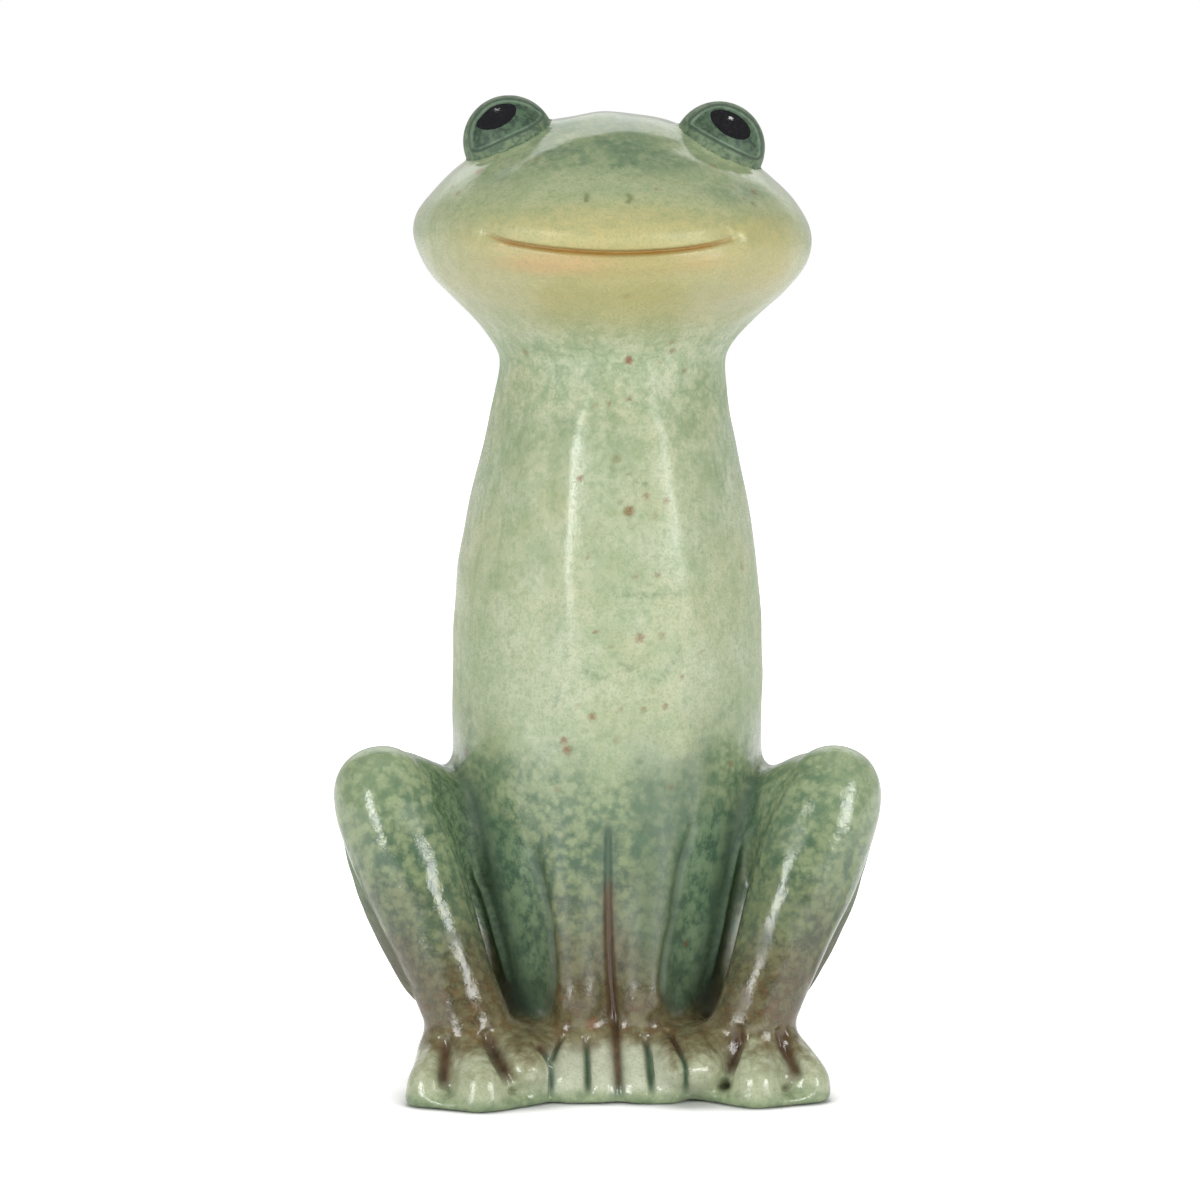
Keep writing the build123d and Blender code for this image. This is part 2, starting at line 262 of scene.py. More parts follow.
def camera_frame():
    """Where the camera stands, and its ahead and up."""
    ahead = Vector((0, cos(camera_elevation), -sin(camera_elevation)))
    up = Vector((0, sin(camera_elevation), cos(camera_elevation)))
    return Vector(camera_target) - ahead * camera_distance, ahead, up


def camera_ray(pixel):
    """A ray from the camera through a pixel of the photograph."""
    place, ahead, up = camera_frame()
    across = (pixel[0] - image_size / 2) * pixel_reach
    over = (image_size / 2 - pixel[1]) * pixel_reach
    return place, (ahead + Vector((1, 0, 0)) * across + up * over).normalized()


def pixels_of(co):
    """Where points stand in the photograph."""
    place, ahead, up = (np.array(part) for part in camera_frame())
    away = co - place
    depth = away @ ahead * pixel_reach
    return np.c_[image_size / 2 + away[:, 0] / depth, image_size / 2 - away @ up / depth]


def smooth_path(pixels, steps=10, closed=False):
    """Places along a smooth line through pixels of the photograph."""
    pixels = np.array(pixels, float)
    if closed:
        around = np.concatenate([pixels[-1:], pixels, pixels[:2]])
    else:
        around = np.concatenate([[2 * pixels[0] - pixels[1]], pixels, [2 * pixels[-1] - pixels[-2]]])
    places = []
    for i in range(1, len(around) - 2):
        a, b, c, d = around[i - 1 : i + 3]
        for t in np.arange(steps) / steps:
            place = 2 * b + (c - a) * t
            place += (2 * a - 5 * b + 4 * c - d) * t**2
            place += (3 * b - a - 3 * c + d) * t**3
            places.append(0.5 * place)
    if not closed:
        places.append(pixels[-1])
    return np.array(places)


def make_camera():
    data = bpy.data.cameras.new("camera")
    data.lens = camera_lens
    data.sensor_width = sensor_width
    camera = bpy.data.objects.new("camera", data)
    camera.location = camera_frame()[0] / metre
    camera.rotation_euler = (pi / 2 - camera_elevation, 0, 0)
    bpy.context.scene.collection.objects.link(camera)
    bpy.context.scene.camera = camera


# Meshes as arrays

def values_of(items, field, width=1, kind=np.int32):
    """One field of a mesh's points, edges, corners or faces, in rows of the given width."""
    values = np.empty(len(items) * width, kind)
    items.foreach_get(field, values)
    return values.reshape(-1, width) if width > 1 else values


def places_of(mesh):
    """Points in millimetres."""
    return values_of(mesh.vertices, "co", 3, np.float32).astype(float) * metre


def arrays_of(mesh):
    """Points in millimetres, and the corners of its triangles."""
    mesh.calc_loop_triangles()
    return places_of(mesh), values_of(mesh.loop_triangles, "vertices", 3)


def mesh_of(name, co, corners, starts):
    """A mesh in metres from points in millimetres and runs of corners."""
    mesh = bpy.data.meshes.new(name)
    mesh.vertices.add(len(co))
    mesh.vertices.foreach_set("co", (co / metre).astype(np.float32).ravel())
    mesh.loops.add(len(corners))
    mesh.loops.foreach_set("vertex_index", corners.astype(np.int32))
    mesh.polygons.add(len(starts))
    mesh.polygons.foreach_set("loop_start", starts.astype(np.int32))
    mesh.update(calc_edges=True)
    mesh.validate()
    return mesh


def triangle_mesh(name, co, triangles):
    return mesh_of(name, co, triangles.ravel(), np.arange(len(triangles)) * 3)


@contextmanager
def editing(mesh):
    """Opens a mesh for edits of its points, edges and faces, and writes them back."""
    form = bmesh.new()
    form.from_mesh(mesh)
    yield form
    form.to_mesh(mesh)
    form.free()


def capped(first, rings, last):
    """A closed form over rings of points, from a point at one end to one at the other."""
    sides = len(rings[0])
    end = len(rings) * sides + 1
    i = np.arange(sides)
    j = (i + 1) % sides
    triangles = [np.c_[np.zeros(sides, int), i + 1, j + 1]]
    for start in range(1, end - sides, sides):
        triangles.append(np.c_[i + start, i + start + sides, j + start + sides])
        triangles.append(np.c_[i + start, j + start + sides, j + start])
    triangles.append(np.c_[i + end - sides, np.full(sides, end), j + end - sides])
    return np.concatenate([[first], *rings, [last]]), np.concatenate(triangles)


def vent_plug(sides=32):
    """A short closed tube inside the base."""
    turn = np.linspace(0, 2 * pi, sides, endpoint=False)
    ring = np.c_[plug_radius * np.cos(turn), plug_back + plug_radius * np.sin(turn)]
    rings = [np.c_[ring, np.full(sides, height)] for height in (plug_high, plug_low)]
    return capped((0, plug_back, plug_high), rings, (0, plug_back, plug_low))


def egg(centre, reach, sides=32, rings=16):
    """A closed ellipsoid."""
    turns = [2 * pi * i / sides for i in range(sides)]
    slopes = [pi * ring / rings for ring in range(1, rings)]
    hoops = [
        [(sin(slope) * cos(turn), sin(slope) * sin(turn), cos(slope)) for turn in turns] for slope in slopes
    ]
    co, triangles = capped((0, 0, 1), hoops, (0, 0, -1))
    return co * reach + centre, triangles


def webs():
    """Slip between each hind leg and the body, and between the feet."""
    return [egg((side * x, y, z), reach) for side in (-1, 1) for (x, y, z), reach in web_forms]


def joined(parts):
    """Several forms as one."""
    start = 0
    places, corners = [], []
    for co, triangles in parts:
        places.append(co)
        corners.append(triangles + start)
        start += len(co)
    return np.concatenate(places), np.concatenate(corners)


class Skin:
    """The glazed surface, as points and faces that can be refined, smoothed and pressed."""

    def __init__(self, castings):
        cast = bpy.data.objects.new(
            "cast", triangle_mesh("cast", *joined([*castings.values(), vent_plug(), *webs()]))
        )
        bpy.context.scene.collection.objects.link(cast)
        remesh = cast.modifiers.new("skin", "REMESH")
        remesh.mode = "VOXEL"
        remesh.voxel_size = voxel / metre
        shown = cast.evaluated_get(bpy.context.evaluated_depsgraph_get())
        self.mesh = bpy.data.meshes.new_from_object(shown)
        bpy.data.objects.remove(cast)
        self.read()
        self.keep_largest()
        self.names = list(castings)
        self.owners = np.repeat(np.arange(len(castings)), [len(t) for _, t in castings.values()])
        self.tree = BVHTree.FromPolygons(*(part.tolist() for part in joined(castings.values())))

    def read(self):
        """Takes points and edges from the mesh."""
        self.co = places_of(self.mesh)
        self.ends = values_of(self.mesh.edges, "vertices", 2)
        self.degree = np.bincount(self.ends.ravel(), minlength=len(self.co)).astype(float)

    def write(self):
        self.mesh.vertices.foreach_set("co", (self.co / metre).astype(np.float32).ravel())
        self.mesh.update()

    def keep_largest(self):
        """Drops the crumbs that the voxels leave inside."""
        label = np.arange(len(self.co))
        while True:
            low = np.minimum(label[self.ends[:, 0]], label[self.ends[:, 1]])
            lower = label.copy()
            np.minimum.at(lower, self.ends[:, 0], low)
            np.minimum.at(lower, self.ends[:, 1], low)
            lower = lower[lower]
            if (lower == label).all():
                break
            label = lower
        ids, counts = np.unique(label, return_counts=True)
        crumbs = np.flatnonzero(label != ids[counts.argmax()])
        with editing(self.mesh) as form:
            form.verts.ensure_lookup_table()
            bmesh.ops.delete(form, geom=[form.verts[i] for i in crumbs], context="VERTS")
        self.read()

    def refine(self, chosen):
        """Halves the edges whose two ends are chosen."""
        both = np.flatnonzero(chosen[self.ends[:, 0]] & chosen[self.ends[:, 1]])
        with editing(self.mesh) as form:
            form.edges.ensure_lookup_table()
            bmesh.ops.subdivide_edges(form, edges=[form.edges[i] for i in both], cuts=1, use_grid_fill=True)
            bmesh.ops.triangulate(form, faces=[face for face in form.faces if len(face.verts) > 4])
        self.read()

    def mean(self, values):
        """Each point's mean over its neighbours."""
        count = len(self.co)
        one, other = self.ends.T
        if values.ndim == 1:
            return (
                np.bincount(one, values[other], count) + np.bincount(other, values[one], count)
            ) / self.degree
        return np.stack([self.mean(column) for column in values.T], 1)

    def spread(self, values, times):
        for _ in range(times):
            values = (values + self.mean(values)) / 2
        return values

    def relax(self, weight, times):
        """Draws each point towards its neighbours' mean, which fills hollows and rounds edges."""
        for _ in range(times):
            self.co += (self.mean(self.co) - self.co) * weight[:, None]

    def settle(self, times, draw=0.55, give=-0.58):
        """Takes the voxels' steps away and keeps the volume."""
        everywhere = np.ones(len(self.co))
        for _ in range(times):
            self.relax(everywhere * draw, 1)
            self.relax(everywhere * give, 1)

    def normals(self):
        self.write()
        return values_of(self.mesh.vertex_normals, "vector", 3, np.float32).astype(float)

    def aim(self):
        """Makes the skin ready to be met by the camera's rays."""
        self.write()
        co, triangles = arrays_of(self.mesh)
        self.target = BVHTree.FromPolygons(co.tolist(), triangles.tolist())

    def seen_at(self, pixel):
        """The point of the skin that shows at a pixel of the photograph."""
        hit = self.target.ray_cast(*camera_ray(pixel))[0]
        if hit is None:
            raise ValueError(f"nothing shows at {pixel}")
        return np.array(hit)

    def line(self, pixels, jump=5.0):
        """Points on the skin along a smooth line through pixels, kept from falling into a gap."""
        points = []
        for pixel in smooth_path(pixels):
            point = self.seen_at(pixel)
            if points and np.linalg.norm(point - points[-1]) > jump:
                place, ray = camera_ray(pixel)
                point = np.array(place + ray * ((points[-1][1] - place.y) / ray.y))
            points.append(point)
        return np.array(points)

    def reach(self, line, limit):
        """The points within limit of a line, how far each is, and how far along the line from 0 to 1."""
        low, high = line.min(0) - limit, line.max(0) + limit
        near = np.flatnonzero(((self.co > low) & (self.co < high)).all(1))
        away = np.full(len(near), np.inf)
        along = np.zeros(len(near))
        steps = np.linalg.norm(np.diff(line, axis=0), axis=1)
        run = np.concatenate([[0], np.cumsum(steps)]) / max(steps.sum(), 1e-6)
        for i in range(len(line) - 1):
            start, step = line[i], line[i + 1] - line[i]
            share = np.clip((self.co[near] - start) @ step / max(step @ step, 1e-9), 0, 1)
            gap = np.linalg.norm(self.co[near] - start - share[:, None] * step, axis=1)
            nearer = gap < away
            away[nearer] = gap[nearer]
            along[nearer] = (run[i] + share * (run[i + 1] - run[i]))[nearer]
        inside = away < limit
        return near[inside], away[inside], along[inside]

    def press(self, line, depth, width, fade=0.15, power=2.0):
        """Moves the skin inwards along a line; a negative depth raises it."""
        near, away, along = self.reach(line, width * 3)
        push = depth * np.exp(-((away / width) ** power))
        if fade:
            push *= np.clip(along / fade, 0, 1) ** 0.5 * np.clip((1 - along) / fade, 0, 1) ** 0.5
        self.co[near] -= self.normals()[near] * push[:, None]

    def owner_of(self, points):
        """The casting that lies nearest to each point."""
        return np.array([self.owners[self.tree.find_nearest(point)[2]] for point in points.tolist()])


def casting_arrays():
    """The castings under the skin: all but the pupils, which are pieces of their own."""
    return {name: arrays_of(node.data) for name, node in frame["nodes"].items() if "pupil" not in name}


def smooth_share(low, high, value):
    """Eases from 0 at low to 1 at high."""
    t = np.clip((value - low) / (high - low), 0, 1)
    return t * t * (3 - 2 * t)


def either(one, other):
    """Two shares laid over each other."""
    return 1 - (1 - one) * (1 - other)


def eye_centre(side):
    """Inside the outer, front and upper sides of the eyeball's box."""
    low, high = (np.array(corner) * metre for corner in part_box(f"{side}_eyeball"))
    outer = low[0] + eye_inset if side == "left" else high[0] - eye_inset
    return np.array([outer, low[1] + eye_inset, high[2] - eye_inset])


skin = Skin(casting_arrays())
eye_centres = {side: eye_centre(side) for side in balls}
ball_outlines = {side: smooth_path(outline, 4, closed=True) for side, outline in balls.items()}


def members(*words):
    """Marks the castings whose names hold one of the words."""
    return [i for i, name in enumerate(skin.names) if any(word in name for word in words)]


def region(owner, *words, times):
    """1 on the castings that the words name, falling to 0 around them."""
    return skin.spread(np.isin(owner, members(*words)).astype(float), times)


# Slip fills the joints
owner = skin.owner_of(skin.co)
off_eyes = 1 - np.clip(region(owner, "eye", times=6) * 2, 0, 1)
foot_region = region(owner, "foot", times=6)
skin.settle(3)
change = owner[skin.ends[:, 0]] != owner[skin.ends[:, 1]]
seam = np.zeros(len(skin.co))
seam[skin.ends[change].ravel()] = 1
seam = np.clip(skin.spread(seam, 3) * 3, 0, 1)
skin.relax(seam * off_eyes * 0.9, 14)
skin.relax(foot_region * 0.8, 16)
low_down = smooth_share(*fold_top, skin.co[:, 2]) * smooth_share(*fold_foot, skin.co[:, 2])
skin.relax(region(owner, "foreleg", "torso", times=8) * low_down * 0.9, 36)
fold = skin.spread(np.clip(skin.spread(seam, 6) * 2, 0, 1) * low_down, 8)
skin.relax(np.clip(fold, 0, 0.9), 30)


def waves(co, shortest, longest, count=30):
    """Smooth random rises and falls of about 1."""
    chance = np.random.default_rng(7)
    value = np.zeros(len(co))
    for _ in range(count):
        way = chance.normal(size=3)
        way /= np.linalg.norm(way)
        length = chance.uniform(shortest, longest)
        value += np.sin(co @ way * (2 * pi / length) + chance.uniform(0, 2 * pi))
    return value / (count / 2) ** 0.5


skin.co += skin.normals() * (waves(skin.co, *wave_lengths) * waviness * off_eyes)[:, None]

# The casting's mouth and nostrils are filled and pressed again with a softer edge
skin.aim()
filled = np.zeros(len(skin.co))
for line, limit in [(mouth_line, mouth_fill)] + [(nostril, nostril_fill) for nostril in nostrils]:
    near, away, _ = skin.reach(skin.line(line), limit)
    filled[near] = np.maximum(filled[near], 1 - smooth_share(limit * 0.55, limit, away))
skin.relax(filled, 60)


def outline_gap(pixels, outline):
    """How far inside an outline each pixel place lies, and below zero outside."""
    outline = np.array(outline, float)
    gap = np.full(len(pixels), np.inf)
    inside = np.zeros(len(pixels), bool)
    for start, end in zip(outline, np.roll(outline, -1, 0)):
        step = end - start
        share = np.clip((pixels - start) @ step / (step @ step), 0, 1)
        gap = np.minimum(gap, np.linalg.norm(pixels - start - share[:, None] * step, axis=1))
        if start[1] != end[1]:
            crossing = start[0] + (pixels[:, 1] - start[1]) * step[0] / step[1]
            inside ^= ((pixels[:, 1] >= start[1]) != (pixels[:, 1] >= end[1])) & (pixels[:, 0] < crossing)
    return np.where(inside, gap, -gap)


# The lids and balls of the eyes
def near_eye(side, limit):
    return np.flatnonzero(np.linalg.norm(skin.co - eye_centres[side], axis=1) < limit)


def about_ball(side):
    """Points about an eye, how far inside the ball's outline each shows, and which are at its front."""
    near = near_eye(side, eye_reach)
    gap = outline_gap(pixels_of(skin.co[near]), ball_outlines[side])
    return near, gap, skin.co[near, 1] < eye_centres[side][1]


def chosen_near(lines, margin):
    chosen = np.zeros(len(skin.co), bool)
    for line in lines:
        chosen[skin.reach(line, margin)[0]] = True
    return chosen


skin.aim()
face_lines = [skin.line(line) for line in (mouth_line, *nostrils)]
leg_lines = [*shin_edges, *shin_lines, *foreleg_edges, middle_groove, *(line for line, _ in toe_grooves)]
chosen = chosen_near(face_lines + [skin.line(line) for line in leg_lines], line_margin)
for side in balls:
    chosen[near_eye(side, eye_reach + 1)] = True
skin.refine(chosen)
chosen = chosen_near(face_lines, face_margin)
for side in balls:
    near, gap, front = about_ball(side)
    chosen[near[(abs(gap) < rim_margin) & front]] = True
skin.refine(chosen)

eye_share = region(skin.owner_of(skin.co), "eye", times=5)
for side in balls:
    near, gap, front = about_ball(side)
    way = skin.co[near] - eye_centres[side]
    reach = np.linalg.norm(way, axis=1)
    target = lid_radius + (ball_radius - lid_radius) * (smooth_share(-rim_step, rim_step, gap) * front)
    hold = smooth_share(0.25, 0.75, eye_share[near])
    skin.co[near] += way * ((target / reach - 1) * hold)[:, None]
skin.relax(np.clip(eye_share * 2, 0, 1) * 0.5, 2)
skin.settle(2)

# The flatter front of the chest, with a soft edge at each side
def recess(gap, gaps, slopes):
    """How deep the skin lies at a distance beyond an edge, from its extra slope there."""
    steps = np.linspace(gaps[0], gaps[-1], 200)
    slope = np.interp(steps, gaps, slopes)
    slope[slope < 0] *= slope[slope > 0].sum() / -slope[slope < 0].sum()
    depth = np.cumsum(slope) * (steps[1] - steps[0])
    return np.interp(gap, steps, depth, left=0, right=0)


pixels = pixels_of(skin.co)
front = smooth_share(0.0, -8.0, skin.co[:, 1])
chest = front * smooth_share(*chest_top, pixels[:, 1]) * smooth_share(*chest_foot, pixels[:, 1])
left_gap = (np.interp(pixels[:, 1], *zip(*left_chest)) - pixels[:, 0]) * chest_pixel
right_gap = (pixels[:, 0] - np.interp(pixels[:, 1], *zip(*right_chest))) * chest_pixel
skin.co[:, 1] += (recess(left_gap, *left_bend) + recess(right_gap, *right_bend)) * chest

# The muzzle's raised lip, the mouth, the nostrils and the folds of the legs
from_lip = (pixels - lip_middle) / lip_reach
lip = np.exp(-(from_lip[:, 0] ** 6) - from_lip[:, 1] ** 4) * front
skin.co += skin.normals() * (lip_rise * lip)[:, None]
# Lines, how deep they go (below 0 they rise), their width and the share of them that fades at each end
presses = (
    ([mouth_line], 1.5, 0.75, 0.25),
    (mouth_corners, 0.3, 1.0, 0),
    ([lip_bead], -0.25, 1.2, 0.3),
    (nostrils, 0.4, 0.7, 0),
    (shin_edges, -1.4, 1.3, 0.25),
    (shin_lines, 0.5, 1.0, 0.15),
    (foreleg_edges, 0.9, 1.5, 0.15),
    *(([line], 1.3 + 0.6 * width, width * 0.9, 0.3) for line, width in toe_grooves),
    ([middle_groove], 1.3, 1.1, 0.1),
)
for lines, depth, width, fade in presses:
    for line in lines:
        skin.press(skin.line(line), depth, width, fade)
skin.settle(1)
low, high = (np.array(corner) * metre for corner in cad_box)
skin.co = np.clip(skin.co, low + box_margin, high - box_margin)
skin.aim()

# Where shade and highlights are painted, where glaze thins and is brushed, and where each paint lies
pixels = pixels_of(skin.co)
normals = skin.normals()
across, down = pixels.T
aside = abs(skin.co[:, 0])
height = skin.co[:, 2]
facing = smooth_share(0.0, 0.35, -normals[:, 1])


def patch(x, y, wide, high, power=2, strength=1):
    """A soft painted patch about a pixel of the photograph."""
    gap = np.hypot((across - x) / wide, (down - y) / high)
    return np.exp(-(gap**power)) * facing * strength


def patches(rows):
    return np.clip(sum(patch(*row) for row in rows), 0, 1)


def stroke(lines, width, fade=0.1):
    """A painted line's strength at each point, 1 along the line."""
    strength = np.zeros(len(skin.co))
    for line in lines:
        near, away, along = skin.reach(skin.line(line), width * 2.5)
        value = np.exp(-((away / width) ** 2))
        if fade:
            value *= np.clip(along / fade, 0, 1) * np.clip((1 - along) / fade, 0, 1) ** 0.5
        strength[near] = np.maximum(strength[near], value)
    return strength


speck = np.zeros(len(skin.co))
for x, y, radius, strength in specks:
    gap = np.linalg.norm(skin.co - skin.seen_at((x, y)), axis=1)
    speck = np.maximum(speck, strength * (1 - smooth_share(radius * 0.55, radius * 1.3, gap)))

# The lid's dark line lies just outside the ball's outline, and the ball's painted highlight just inside it
lid_line, ball_edge_highlight, ball_share = np.zeros((3, len(skin.co)))
for side in balls:
    near, gap, front = about_ball(side)
    near, gap = near[front], gap[front]
    lid_line[near] = np.exp(-(((gap - lid_line_place) / lid_line_width) ** 2))
    ball_edge_highlight[near] = np.exp(-(((gap - ball_edge_place) / ball_edge_width) ** 2))
    ball_share[near] = smooth_share(-0.6, 0.6, gap)

polygon_sizes = values_of(skin.mesh.polygons, "loop_total")
corners = values_of(skin.mesh.loops, "vertex_index")
face_of_corner = np.repeat(np.arange(len(polygon_sizes)), polygon_sizes)
centres = [np.bincount(face_of_corner, skin.co[corners, axis]) / polygon_sizes for axis in range(3)]
face_owner = skin.owner_of(np.stack(centres, 1))


def share_of(*words, times=6):
    """1 on the castings that the words name, falling to 0 around them."""
    value = np.zeros(len(skin.co))
    value[corners] = np.isin(face_owner, members(*words))[face_of_corner]
    return skin.spread(value, times)


# Satin where the glaze is brushed: all but the chest's wet front, the chin and the lower forelegs
chest_end = np.where(across > chest_middle, *chest_wet_ends)
chest_gloss = smooth_share(*chest_wet_top, down) * smooth_share(chest_end, chest_end - chest_wet_fade, down)
chest_gloss *= 1 - 0.35 * np.exp(-(((across - np.interp(down, *zip(*right_chest))) / right_dry) ** 4))
satin = 1 - 0.62 * chest_gloss
satin *= smooth_share(*satin_low, height) * smooth_share(*satin_high, height)
satin = either(satin, patch(*chin_patch))
satin = either(satin, 0.45 * smooth_share(*neck_top, height) * smooth_share(*neck_foot, height))
forelegs = smooth_share(*foreleg_side, aside) * smooth_share(*foreleg_foot, height)
satin = either(satin, forelegs * smooth_share(*satin_low[::-1], height) * facing)
for row in satin_patches:
    satin = either(satin, 0.9 * patch(*row))

inner_shin = sum(smooth_share(-4, 5, outline_gap(pixels, outline)) for outline in inner_shins) * facing
# The lower thigh beside the shin, dulled and painted darker as shade
shaded_haunch = share_of("thigh") * smooth_share(*haunch_top, height) * smooth_share(*haunch_side, aside)
dull = (
    stroke(creases, 7.0, 0.05),
    stroke(foreleg_edges, 3.0, 0.05),
    stroke(outer_edges, 2.5),
    inner_shin,
    shaded_haunch,
)
stains = [stroke([line], width * 1.45, 0.2) for line, width in toe_grooves]
fields = {
    "inner_shin": inner_shin,
    "shaded_haunch": shaded_haunch,
    "dull": np.maximum.reduce(dull),
    # How far each point lies in a hollow, where shade is painted
    "hollow": skin.spread(((skin.spread(skin.co, 50) - skin.co) * normals).sum(1), 3),
    "hind": share_of("thigh", "shin", "hind_foot"),
    "eye": share_of("eye", times=3),
    "ball": ball_share,
    "ball_edge_highlight": ball_edge_highlight,
    "lid_line": lid_line,
    "speck": speck,
    "thread": stroke(threads, 1.0, 0.15),
    # The pockets between shin and foreleg, where shade is painted
    "pocket_shade": sum(smooth_share(-5, 9, outline_gap(pixels, outline)) for outline in pockets) * facing,
    "stain": np.maximum.reduce([stroke([middle_groove], 2.3, 0.05), *stains]),
    # Painted shade along the creases where the legs meet the body
    "crease_shade": np.maximum(stroke(creases, 2.0), stroke(creases, 6.0, 0.12) * 0.75),
    "edge_shade": np.maximum(stroke(foreleg_edges, 1.8), stroke(shin_lines, 1.2) * 0.6),
    "mouth": stroke([mouth_line], 0.95, 0.12),
    "nostril": stroke(nostrils, 0.8, 0),
    "satin": satin,
    "ochre": patches(ochre_patches),
    "peach": patches(peach_patches),
    "brow": patches(brow_patches),
    "below_lip": patch(*lip_patch),
}


# Materials

def paint(red, green, blue):
    """A colour given as it looks on a screen, from 0 to 255, with full cover."""
    shares = [channel / 255 for channel in (red, green, blue)]
    return tuple(s / 12.92 if s <= 0.04045 else ((s + 0.055) / 1.055) ** 2.4 for s in shares) + (1.0,)


pale = paint(195, 203, 173)
celadon = paint(165, 180, 140)
straw = paint(192, 192, 146)
wash = paint(134, 158, 114)
vein = paint(120, 146, 112)
moss = paint(108, 132, 102)
# Deep green, for the painted shade in hollows, creases and pockets, and under the grooves' stains
deep = paint(66, 92, 72)
ochre = paint(195, 184, 121)
ochre_dark = paint(176, 162, 98)
peach = paint(208, 172, 120)
forehead = paint(170, 178, 136)
brow_green = paint(100, 124, 98)
# Umber, for the painted shade in the hollows low on the hind legs
umber = paint(88, 72, 48)
speck_brown = paint(126, 78, 36)
mouth_brown = paint(156, 112, 40)
nostril_green = paint(112, 122, 78)
lid_green = paint(112, 132, 98)
lid_dark = paint(74, 98, 72)
ball_green = paint(80, 106, 78)
ball_dark = paint(46, 68, 52)
# Pale green of the painted highlight along the ball's edge
ball_highlight = paint(128, 152, 126)
line_dark = paint(44, 62, 58)
groove_brown = paint(98, 72, 46)
groove_dark = paint(66, 50, 34)
groove_teal = paint(78, 104, 78)
rust = paint(136, 98, 58)
shin_green = paint(116, 142, 100)
shin_dark = paint(66, 90, 64)
right_moss = paint(82, 106, 80)
fore_toe = paint(212, 216, 196)
# Greens of the painted shade in the pockets
pocket_green = paint(122, 146, 112)
pocket_dark = paint(70, 98, 78)

# Glaze on the legs and the lower body: height above the ground, colour in the spots, and colour in the
# darker net between them
leg_levels = (
    (1.5, (150, 166, 126), (118, 138, 102)), (6, (190, 196, 164), (178, 186, 154)),
    (12, (190, 194, 164), (158, 160, 126)), (18, (134, 126, 92), (98, 88, 62)),
    (26, (110, 100, 70), (78, 66, 44)), (38, (114, 110, 78), (76, 74, 52)),
    (54, (128, 136, 98), (78, 92, 70)), (70, (140, 154, 114), (80, 105, 80)),
    (90, (154, 168, 130), (98, 124, 94)), (108, (172, 184, 148), (140, 160, 124)),
)
spot_levels, net_levels = ([(row[0], paint(*row[kind])) for row in leg_levels] for kind in (1, 2))
level_top = 130.0
glaze_ior = 1.62
skin_relief = 0.05
black_relief = 0.02
# Heights between which each paint comes in or fades, and how far aside
belt_rise = (148.0, 176.0)
collar_rise, collar_end = (172.0, 205.0), (236.0, 218.0)
head_rise, crown_rise, shiny_rise = (240.0, 266.0), (268.0, 284.0), (262.0, 272.0)
leg_rise, swell_rise = (116.0, 84.0), (130.0, 100.0)
moss_rise = (40.0, 60.0)
right_foot, right_inner, right_outer = (24.0, 48.0), (2.0, 14.0), (34.0, 28.0)
rust_rise, rust_end, umber_rise = (10.0, 20.0), (46.0, 30.0), (36.0, 24.0)
groove_foot, groove_top = (2.0, 7.0), (66.0, 58.0)
fore_groove_top, fore_groove_inner, fore_groove_outer = (17.0, 12.0), (3.0, 6.0), (28.0, 23.0)
fore_toe_foot, fore_toe_top, fore_toe_outer = (2.0, 6.0), (18.0, 12.0), (19.0, 17.0)
side_fade, back_fade = (18.0, 44.0), (-12.0, 30.0)


class Nodes:
    """The nodes of a material or of the world, built value by value."""

    def __init__(self, tree):
        self.tree = tree
        tree.nodes.clear()

    def feed(self, socket, value):
        if isinstance(value, bpy.types.NodeSocket):
            self.tree.links.new(value, socket)
        else:
            socket.default_value = value

    def node(self, kind, *values, **settings):
        """A new node with its settings, its first inputs fed in order."""
        made = self.tree.nodes.new(f"ShaderNode{kind}")
        for setting, value in settings.items():
            setattr(made, setting, value)
        for socket, value in zip(made.inputs, values):
            self.feed(socket, value)
        return made

    def math(self, operation, *values):
        return self.node("Math", *values, operation=operation).outputs[0]

    def times(self, *values):
        product = values[0]
        for value in values[1:]:
            product = self.math("MULTIPLY", product, value)
        return product

    def ramp(self, value, low, high, start=0.0, end=1.0):
        """Eases from start at low to end at high."""
        made = self.node("MapRange", value, low, high, start, end, interpolation_type="SMOOTHSTEP")
        return made.outputs[0]


